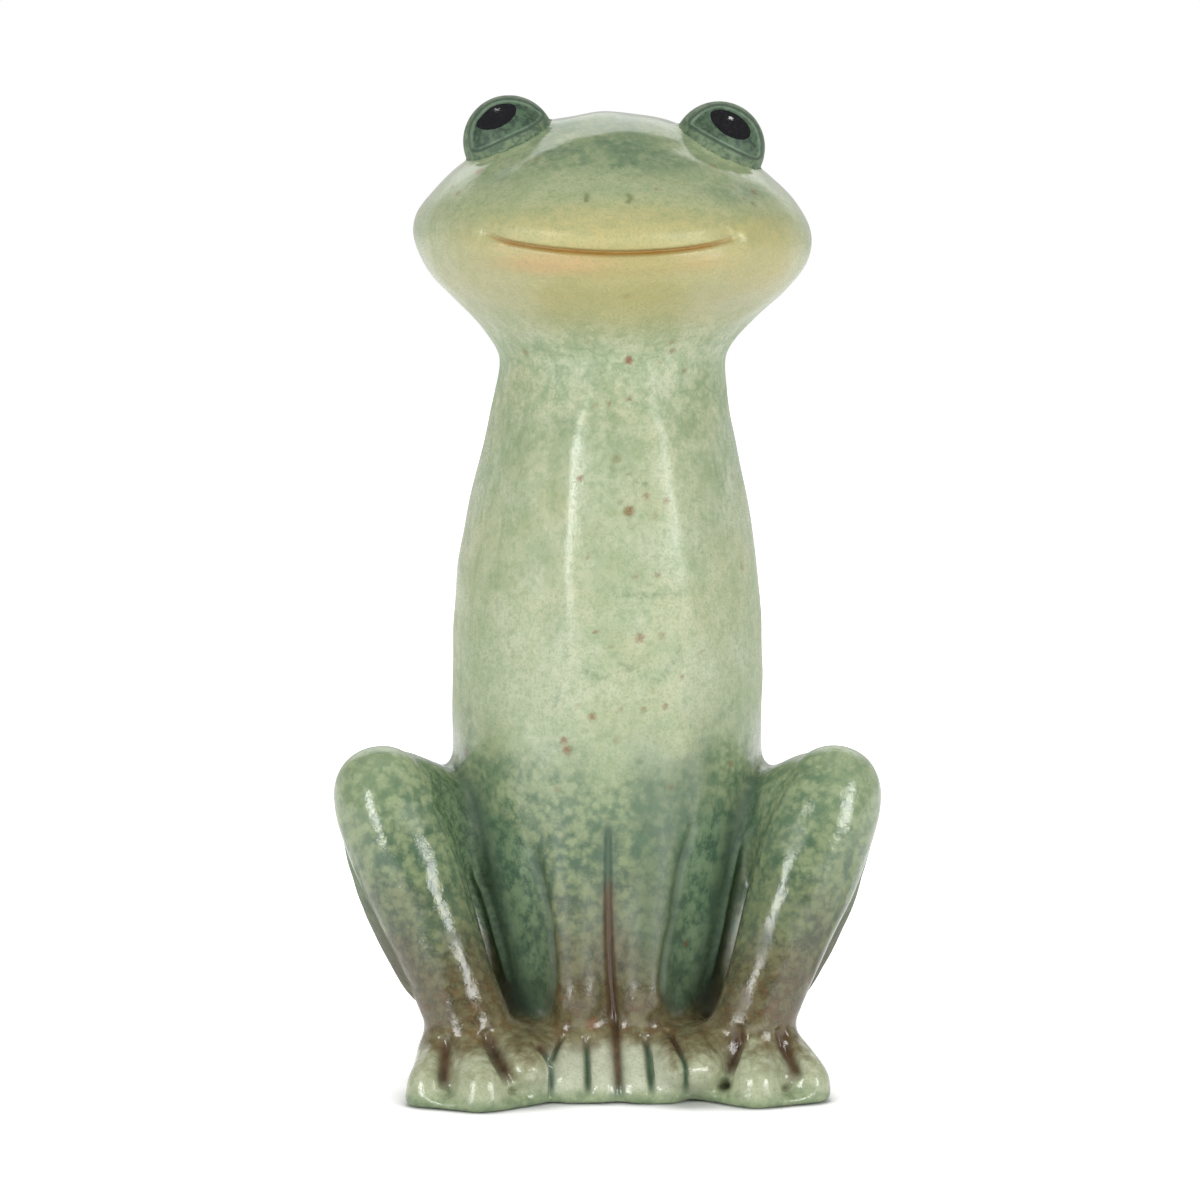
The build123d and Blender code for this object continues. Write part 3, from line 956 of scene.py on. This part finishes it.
class Glaze(Nodes):
    """A glazed material."""

    def __init__(self, name):
        self.material = bpy.data.materials.new(name)
        self.material.use_nodes = True
        super().__init__(self.material.node_tree)
        self.place = self.scaled(self.node("TexCoord").outputs["Object"], metre)
        self.x, self.y, self.z = self.node("SeparateXYZ", self.place).outputs

    def vector(self, operation, *values):
        return self.node("VectorMath", *values, operation=operation).outputs[0]

    def scaled(self, place, amount):
        made = self.node("VectorMath", place, operation="SCALE")
        made.inputs["Scale"].default_value = amount
        return made.outputs[0]

    def levels(self, value, stops):
        """A colour by height, easing from each stop to the next."""
        made = self.node("ValToRGB", self.math("DIVIDE", value, level_top))
        band = made.color_ramp
        band.interpolation = "EASE"
        while len(band.elements) < len(stops):
            band.elements.new(1.0)
        for element, (level, colour) in zip(band.elements, stops):
            element.position = level / level_top
            element.color = colour
        return made.outputs[0]

    def mix(self, share, one, other):
        made = self.node("Mix", data_type="RGBA", clamp_factor=True)
        self.feed(made.inputs["Factor"], share)
        self.feed(made.inputs[6], one)
        self.feed(made.inputs[7], other)
        return made.outputs[2]

    def coats(self, colour, *coats):
        """Paints laid one over another, each by the product of its shares."""
        for coat, *shares in coats:
            colour = self.mix(self.times(*shares), colour, coat)
        return colour

    def field(self, name):
        return self.node("Attribute", attribute_name=name).outputs["Fac"]

    def stretched(self, x, y, z):
        return self.vector("MULTIPLY", self.place, (x, y, z))

    def texture(self, kind, size, place, settings=None, **values):
        made = self.node(f"Tex{kind}", place or self.place, **(settings or {}))
        made.inputs["Scale"].default_value = 1 / size
        for name, value in values.items():
            made.inputs[name].default_value = value
        return made.outputs

    def noise(self, size, detail, roughness, place=None):
        return self.texture("Noise", size, place, Detail=detail, Roughness=roughness)["Fac"]

    def cells(self, size, place):
        return self.texture("Voronoi", size, place, {"feature": "SMOOTH_F1"}, Smoothness=0.35)["Distance"]

    def edges(self, size, place):
        """How far from the nearest side of a cell, in cells."""
        return self.texture("Voronoi", size, place, {"feature": "DISTANCE_TO_EDGE"})["Distance"]

    def warped(self, amount, size):
        """The place, pushed about by noise, so that cells lose their straight sides."""
        noise = self.texture("Noise", size, None, Detail=2.0)["Color"]
        push = self.scaled(self.vector("SUBTRACT", noise, (0.5, 0.5, 0.5)), amount)
        return self.vector("ADD", self.place, push)

    def finish(self, colour, roughness, height, depth):
        """Joins the colour, gloss and fine relief to the shader."""
        shader = self.node("BsdfPrincipled")
        self.feed(shader.inputs["Base Color"], colour)
        self.feed(shader.inputs["Roughness"], roughness)
        shader.inputs["IOR"].default_value = glaze_ior
        bump = self.node("Bump")
        bump.inputs["Strength"].default_value = 1.0
        bump.inputs["Distance"].default_value = depth / metre
        self.feed(bump.inputs["Height"], height)
        self.feed(shader.inputs["Normal"], bump.outputs[0])
        self.node("OutputMaterial", shader.outputs[0])
        return self.material


class SkinGlaze(Glaze):
    """Celadon over the body, mottled greens low down, umber at the ankles, ochre on the muzzle."""

    def __init__(self, name):
        super().__init__(name)
        self.grain = self.noise(0.7, 2.0, 0.6)
        self.dots = self.noise(2.2, 4.0, 0.7)
        self.blots = self.noise(4.6, 4.0, 0.66)
        self.cloud = self.noise(11.0, 5.0, 0.66)
        self.drift = self.noise(26.0, 3.0, 0.55)
        self.streak = self.noise(5.0, 5.0, 0.66, self.stretched(1.0, 1.0, 0.16))
        self.aside = self.math("ABSOLUTE", self.x)
        self.hind = self.ramp(self.field("hind"), 0.3, 0.7)
        self.clouded = self.math("SUBTRACT", self.cloud, 0.5)
        sway = self.ramp(self.z, 2.0, 40.0, 9.0, 30.0)
        self.level = self.math("ADD", self.z, self.times(self.clouded, sway))


def body_colour(g):
    """The upper body, washed with green towards its sides and back."""
    spots = g.noise(3.4, 5.0, 0.72, g.stretched(1.0, 1.0, 0.8))
    hairs = g.noise(1.9, 4.0, 0.7, g.stretched(1.0, 1.0, 0.12))
    lace = g.ramp(g.edges(5.5, g.warped(7.0, 5.0)), 0.16, 0.0)
    outer = g.math("MAXIMUM", g.ramp(g.aside, *side_fade), g.ramp(g.y, *back_fade))
    outer = g.ramp(outer, 0.0, 1.0, 0.14, 0.5)
    belt = g.ramp(g.z, *belt_rise, 0.5, 1.0)
    collar = g.times(g.ramp(g.z, *collar_rise), g.ramp(g.z, *collar_end))
    return g.coats(
        pale,
        (celadon, g.ramp(g.cloud, 0.36, 0.66, 0.0, 0.8)),
        (straw, g.ramp(g.drift, 0.4, 0.66), 0.45),
        (celadon, g.ramp(g.blots, 0.42, 0.7, 0.0, 0.5)),
        (wash, g.ramp(g.streak, 0.44, 0.7), outer, belt),
        (wash, g.ramp(hairs, 0.48, 0.66), outer, belt),
        (wash, g.ramp(g.dots, 0.47, 0.62), 0.36),
        (pale, g.ramp(spots, 0.52, 0.68), 0.4),
        (vein, collar, lace, g.ramp(g.cloud, 0.42, 0.62, 0.0, 0.5)),
        (wash, collar, g.ramp(g.blots, 0.44, 0.62), 0.4),
        (moss, g.field("thread"), g.ramp(g.dots, 0.35, 0.6), 0.5),
    )


def head_colour(g, colour):
    """The green head with its ochre muzzle and dark brow."""
    head = g.ramp(g.z, *head_rise)
    crown = g.math("MAXIMUM", g.field("brow"), g.times(g.ramp(g.z, *crown_rise), 0.8))
    thin = g.ramp(g.math("ADD", g.cloud, g.times(g.dots, 0.5)), 0.6, 0.9, 0.35, 1.0)
    return g.coats(
        colour,
        (forehead, head, 0.75),
        (ochre, g.field("ochre"), g.ramp(g.cloud, 0.2, 0.6, 1.0, 0.8)),
        (ochre_dark, g.field("below_lip"), 0.7),
        (peach, g.field("peach"), g.ramp(g.cloud, 0.25, 0.55, 0.6, 1.0)),
        (brow_green, crown, thin),
        (wash, head, g.ramp(g.blots, 0.42, 0.66), 0.35),
        (wash, head, g.ramp(g.dots, 0.48, 0.7), 0.35),
    )


def low_colour(g, colour):
    """The lower body and the legs, with pale spots in a darker net."""
    cell = g.cells(2.9, g.warped(3.2, 2.2))
    blotted = g.times(g.math("SUBTRACT", g.blots, 0.5), 1.5)
    net = g.ramp(g.math("ADD", g.times(cell, 0.62), blotted), 0.02, 0.62)
    side = g.ramp(g.aside, *side_fade)
    start = g.math("SUBTRACT", g.math("ADD", g.z, g.times(g.clouded, 44.0)), g.times(side, 7.0))
    low = g.math("MAXIMUM", g.ramp(start, *leg_rise), g.hind)
    knee = g.ramp(g.math("ADD", g.aside, g.times(g.z, 0.35)), 86.0, 110.0)
    rusty = (g.ramp(g.level, *rust_rise), g.ramp(g.level, *rust_end), g.ramp(g.blots, 0.48, 0.64))
    thick = (g.ramp(g.drift, 0.46, 0.62), g.ramp(g.z, *moss_rise), g.ramp(net, 0.0, 1.0, 0.15, 0.4))
    right_leg = (g.ramp(g.x, *right_inner), g.ramp(g.aside, *right_outer), g.ramp(g.z, *right_foot))
    fore_toes = (
        g.ramp(g.aside, *fore_toe_outer), g.ramp(g.z, *fore_toe_top), g.ramp(g.z, *fore_toe_foot),
    )
    mottle = g.mix(net, g.levels(g.level, spot_levels), g.levels(g.level, net_levels))
    mottle = g.coats(
        mottle,
        (moss, *thick),
        (rust, *rusty, 0.3),
        (right_moss, *right_leg, 0.5),
        (fore_toe, *fore_toes, 0.5),
        (celadon, g.hind, knee, g.ramp(g.blots, 0.3, 0.6, 0.75, 0.4)),
    )
    colour = g.coats(colour, (mottle, low))
    # Painted shade in the pockets, turning deep green towards their bottoms
    pocket_shade = g.mix(g.ramp(g.blots, 0.38, 0.62), pocket_green, pocket_dark)
    pocket_shade = g.coats(deep, (pocket_shade, g.ramp(g.level, 20.0, 44.0, 0.2, 1.0)))
    return g.coats(
        colour,
        (pocket_shade, g.field("pocket_shade"), 0.85),
        (moss, g.ramp(g.grain, 0.45, 0.72, 0.0, 0.32)),
    )


def hollow_shade_colour(g, colour):
    """Painted shade in the hollows, folds and creases, and stains in the grooves."""
    # Colour of the painted shade: deep green, turning umber low on the hind legs
    dark = g.coats(deep, (umber, g.hind, g.ramp(g.level, *umber_rise)))
    shin = g.mix(g.ramp(g.dots, 0.38, 0.62), shin_dark, shin_green)
    colour = g.coats(
        colour,
        # Painted shade on the lower thigh beside the shin
        (deep, g.field("shaded_haunch"), 0.3),
        # Painted shade in the hollows, and along the foreleg edges and shin lines
        (dark, g.ramp(g.field("hollow"), 0.25, 1.3), g.ramp(g.z, *swell_rise), 0.7),
        (dark, g.field("edge_shade"), 0.5),
        (shin, g.ramp(g.field("inner_shin"), 0.1, 0.6, 0.0, 0.9)),
        # Painted shade in the creases
        (deep, g.field("crease_shade"), g.ramp(g.dots, 0.3, 0.6, 0.95, 0.8)),
    )
    fore_groove = (
        g.ramp(g.aside, *fore_groove_outer),
        g.ramp(g.aside, *fore_groove_inner),
        g.ramp(g.z, *fore_groove_top),
    )
    groove = g.mix(g.ramp(g.streak, 0.35, 0.65), groove_dark, groove_brown)
    stain = g.coats(
        deep,
        (groove, g.ramp(g.z, *groove_top), g.ramp(g.z, *groove_foot)),
        (groove_teal, *fore_groove),
    )
    return g.coats(colour, (stain, g.field("stain"), 0.95))


def face_colour(g, colour):
    """The eyes, the mouth, the nostrils and the iron specks."""
    ball = g.mix(g.ramp(g.dots, 0.4, 0.62), ball_green, ball_dark)
    # A painted highlight along the ball's edge
    ball = g.coats(ball, (ball_highlight, g.field("ball_edge_highlight"), g.ramp(g.blots, 0.35, 0.6, 0.35, 0.7)))
    lid = g.mix(g.ramp(g.dots, 0.4, 0.6), lid_green, lid_dark)
    lid = g.coats(lid, (ball, g.field("ball")))
    return g.coats(
        colour,
        (lid, g.ramp(g.field("eye"), 0.35, 0.6)),
        (line_dark, g.field("lid_line"), g.ramp(g.dots, 0.3, 0.65, 0.95, 0.35)),
        (mouth_brown, g.field("mouth"), g.ramp(g.streak, 0.3, 0.7, 0.8, 1.0)),
        (nostril_green, g.field("nostril"), 0.7),
        (speck_brown, g.field("speck"), g.ramp(g.grain, 0.3, 0.5, 0.6, 1.0)),
    )


def skin_glaze(name):
    g = SkinGlaze(name)
    colour = body_colour(g)
    for paints in (head_colour, low_colour, hollow_shade_colour, face_colour):
        colour = paints(g, colour)
    shiny = g.ramp(g.z, *shiny_rise)
    fine = g.math("ADD", g.times(g.noise(0.7, 3.0, 0.65), 1.3), g.times(g.noise(2.6, 2.0, 0.5), 1.8))
    broad = g.times(g.noise(5.5, 2.0, 0.5), g.ramp(g.z, *swell_rise, 1.5, 6.5))
    even = g.math("MAXIMUM", g.times(shiny, 0.7), g.times(g.ramp(g.field("eye"), 0.2, 0.5), 0.8))
    relief = g.times(g.math("ADD", fine, broad), g.math("SUBTRACT", 1.0, even))
    sheen = g.ramp(g.grain, 0.3, 0.8, 0.08, 0.18)
    roughness = g.times(sheen, g.math("SUBTRACT", 1.0, g.times(shiny, 0.6)))
    roughness = g.math("ADD", roughness, g.times(g.field("satin"), 0.36))
    roughness = g.math("MAXIMUM", roughness, g.times(g.field("dull"), 0.65))
    roughness = g.math("MAXIMUM", roughness, g.times(g.ramp(g.field("eye"), 0.35, 0.6), 0.6))
    return g.finish(colour, roughness, relief, skin_relief)


def pupil_glaze(name):
    g = Glaze(name)
    grain = g.noise(0.8, 2.0, 0.5)
    colour = g.mix(g.ramp(grain, 0.4, 0.8), paint(24, 24, 26), paint(38, 38, 41))
    return g.finish(colour, g.ramp(grain, 0.3, 0.8, 0.05, 0.14), grain, black_relief)


materials = {
    slot: skin_glaze(slot) for slot in ("body_glaze", "head_glaze", "leg_glaze", "foot_glaze", "eye_glaze")
}
materials["pupil_glaze"] = pupil_glaze("pupil_glaze")
slot_of = {row["node"]: row["material_slot"] for row in frame["record"]["subparts"]}


# Lamps

lamp_middle = Vector((0, 0, 0.14))
lamp_distance = 1.3
catch_light = (0, 78)
# Azimuth and elevation in degrees, with 0 on the camera's side, width and height in metres, and radiance
softboxes = {
    "softbox_right": (43, 12, 0.42, 0.56, 8.7),
    "softbox_left": (-40, 11, 0.38, 0.56, 9.6),
    "overhead": (0, 80, 1.2, 1.2, 0.75),
    "catch_light": (*catch_light, 0.07, 0.05, 14.0),
    "backdrop": (180, 24, 3.0, 1.5, 0.65),
}
not_mirrored = ("overhead", "backdrop")
only_mirrored = ("catch_light",)


def lamp_place(azimuth, elevation):
    azimuth, elevation = radians(azimuth), radians(elevation)
    way = Vector((sin(azimuth) * cos(elevation), -cos(azimuth) * cos(elevation), sin(elevation)))
    return lamp_middle + way * lamp_distance


def make_lamp(name, azimuth, elevation, width, height, brightness):
    """A softbox aimed at the frog."""
    data = bpy.data.lights.new(name, "AREA")
    data.shape = "RECTANGLE"
    data.size = width
    data.size_y = height
    data.energy = brightness * width * height * pi
    lamp = bpy.data.objects.new(name, data)
    lamp.location = lamp_place(azimuth, elevation)
    lamp.rotation_euler = (lamp_middle - lamp.location).to_track_quat("-Z", "Y").to_euler()
    lamp.visible_camera = False
    lamp.visible_glossy = name not in not_mirrored
    lamp.visible_diffuse = name not in only_mirrored
    bpy.context.scene.collection.objects.link(lamp)


# Pieces

def place_piece(name, mesh, node):
    """Puts a piece in the place of its casting."""
    mesh.polygons.foreach_set("use_smooth", np.ones(len(mesh.polygons), bool))
    mesh.materials.append(materials[slot_of[node]])
    piece = bpy.data.objects.new(name, mesh)
    bpy.context.scene.collection.objects.link(piece)
    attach(piece, "root")
    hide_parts(node)


def make_piece(node, chosen):
    """The part of the skin that stands for one casting."""
    used, renumbered = np.unique(corners[chosen[face_of_corner]], return_inverse=True)
    starts = np.concatenate([[0], np.cumsum(polygon_sizes[chosen])[:-1]])
    mesh = mesh_of(f"{node}_skin", skin.co[used], renumbered, starts)
    for name, values in fields.items():
        field = mesh.attributes.new(name, "FLOAT", "POINT")
        field.data.foreach_set("value", values[used].astype(np.float32))
    place_piece(f"{node}_skin", mesh, node)
    mesh.normals_split_custom_set_from_vertices(normals[used])


def ball_point(side, pixel, radius):
    """Where the camera's ray through a pixel meets the ball of an eye."""
    place, ray = camera_ray(pixel)
    centre = Vector(eye_centres[side])
    nearest = (centre - place).dot(ray)
    miss = (place + ray * nearest - centre).length
    return np.array(place + ray * (nearest - max(radius**2 - miss**2, 0) ** 0.5))


def make_pupil(side, turns=72, rings=12):
    """A lens of black glaze on the ball, cut off where it meets the lid."""
    outline = ball_outlines[side]
    x, y, long_half, short_half, tilt = pupils[side]
    middle, rise = np.array([x, y]), radians(tilt)
    steps = []
    for i in range(turns):
        turn = 2 * pi * i / turns
        long, short = long_half * cos(turn), short_half * sin(turn)
        step = np.array([long * cos(rise) + short * sin(rise), -long * sin(rise) + short * cos(rise)])
        reach = 1.0
        while outline_gap((middle + step * reach)[None], outline)[0] < pupil_margin and reach > 0.3:
            reach -= 0.02
        steps.append(step * reach)

    def ring(share, lift):
        return [ball_point(side, middle + step * share, ball_radius + lift) for step in steps]

    shares = [i / rings for i in range(1, rings + 1)]
    upper = [ring(share, pupil_relief * (1 - share**6)) for share in shares]
    lower = [ring(share, -pupil_sink) for share in reversed(shares)]
    ends = [ball_point(side, middle, ball_radius + lift) for lift in (pupil_relief, -pupil_sink)]
    co, triangles = capped(ends[0], upper + lower, ends[1])
    mesh = triangle_mesh(f"{side}_pupil_glaze", co, triangles)
    with editing(mesh) as form:
        bmesh.ops.recalc_face_normals(form, faces=form.faces)
    place_piece(f"{side}_pupil_glaze", mesh, f"{side}_pupil")
    # Normals that spread the catch light over a flatter lens than the ball
    centre = eye_centres[side]
    shine = ball_point(side, catch_lights[side], ball_radius) - centre
    lamp = (lamp_place(*catch_light) * metre - Vector(centre)).normalized()
    bisector = np.array(lamp - camera_ray((x, y))[1])
    way = bisector / np.linalg.norm(bisector) + pupil_flatness * (co - centre - shine) / ball_radius
    mesh.normals_split_custom_set_from_vertices(way / np.linalg.norm(way, axis=1)[:, None])


for i, node in enumerate(skin.names):
    make_piece(node, face_owner == i)
for side in balls:
    make_pupil(side)


# Stage

floor_size = 4.0
floor_grey = 0.78
near_glow = 0.68  # of the floor close to the frog, where its shadow shows
glow_reach = (0.085, 0.16)  # from the frog's middle, between which the floor turns white
mirrored_glow = 0.6
contact_reach = 0.02
contact_front = (-0.034, -0.012)  # between which the contact shade fades out towards the back
ambient = 0.44
room_shine = 0.14
sweep_shine = 0.56
ceiling_shine = 1.5


class Stage(Nodes):
    """The floor or the world, with the kinds of ray that see it."""

    def __init__(self, tree):
        super().__init__(tree)
        seen = self.node("LightPath")
        self.camera = seen.outputs["Is Camera Ray"]
        glossy, passing = seen.outputs["Is Glossy Ray"], seen.outputs["Is Transmission Ray"]
        self.mirrored = self.math("MAXIMUM", glossy, passing)


def make_floor():
    mesh = bpy.data.meshes.new("floor")
    square = [(-floor_size, -floor_size, 0), (floor_size, -floor_size, 0)]
    square += [(floor_size, floor_size, 0), (-floor_size, floor_size, 0)]
    mesh.from_pydata(square, [], [(0, 1, 2, 3)])
    floor = bpy.data.objects.new("floor", mesh)
    bpy.context.scene.collection.objects.link(floor)
    material = bpy.data.materials.new("floor")
    material.use_nodes = True
    mesh.materials.append(material)
    s = Stage(material.node_tree)
    place = s.node("TexCoord").outputs["Object"]
    contact = s.node("AmbientOcclusion", samples=8)
    contact.inputs["Distance"].default_value = contact_reach
    shade = s.ramp(contact.outputs["AO"], 0.45, 0.95)
    shade = s.math("MAXIMUM", shade, s.ramp(s.node("SeparateXYZ", place).outputs["Y"], *contact_front))
    away = s.node("VectorMath", place, operation="LENGTH").outputs["Value"]
    shown = s.math("MAXIMUM", s.camera, s.times(s.mirrored, mirrored_glow))
    glow = s.node("Emission")
    s.feed(glow.inputs["Strength"], s.times(shown, s.ramp(away, *glow_reach, near_glow, 1.0), shade))
    diffuse = s.node("BsdfDiffuse", (floor_grey, floor_grey, floor_grey, 1))
    s.node("OutputMaterial", s.node("AddShader", diffuse.outputs[0], glow.outputs[0]).outputs[0])


def make_world():
    """A white backdrop, seen by the camera all round and by the glaze behind the frog."""
    world = bpy.data.worlds.new("studio")
    bpy.context.scene.world = world
    world.use_nodes = True
    s = Stage(world.node_tree)
    aside, back_y, back_z = s.node("SeparateXYZ", s.node("TexCoord").outputs["Generated"]).outputs
    lift = s.ramp(back_z, 0.2, 0.5)
    sweep = s.times(s.math("SUBTRACT", 1.0, lift), s.ramp(back_y, -0.15, 0.6), sweep_shine)
    narrow = s.ramp(s.math("ABSOLUTE", aside), 0.62, 0.4)
    ceiling = s.times(lift, narrow, s.ramp(back_y, 0.6, 0.63), ceiling_shine)
    glossy = s.math("ADD", room_shine, s.math("ADD", sweep, ceiling))
    lit = s.math("ADD", s.times(s.mirrored, glossy), s.times(s.math("SUBTRACT", 1.0, s.mirrored), ambient))
    shown = s.math("MAXIMUM", s.camera, s.times(lit, s.math("SUBTRACT", 1.0, s.camera)))
    s.node("OutputWorld", s.node("Background", (1, 1, 1, 1), shown).outputs[0])


make_floor()
for name, settings in softboxes.items():
    make_lamp(name, *settings)
make_world()
make_camera()
bpy.context.scene.view_settings.view_transform = "Standard"
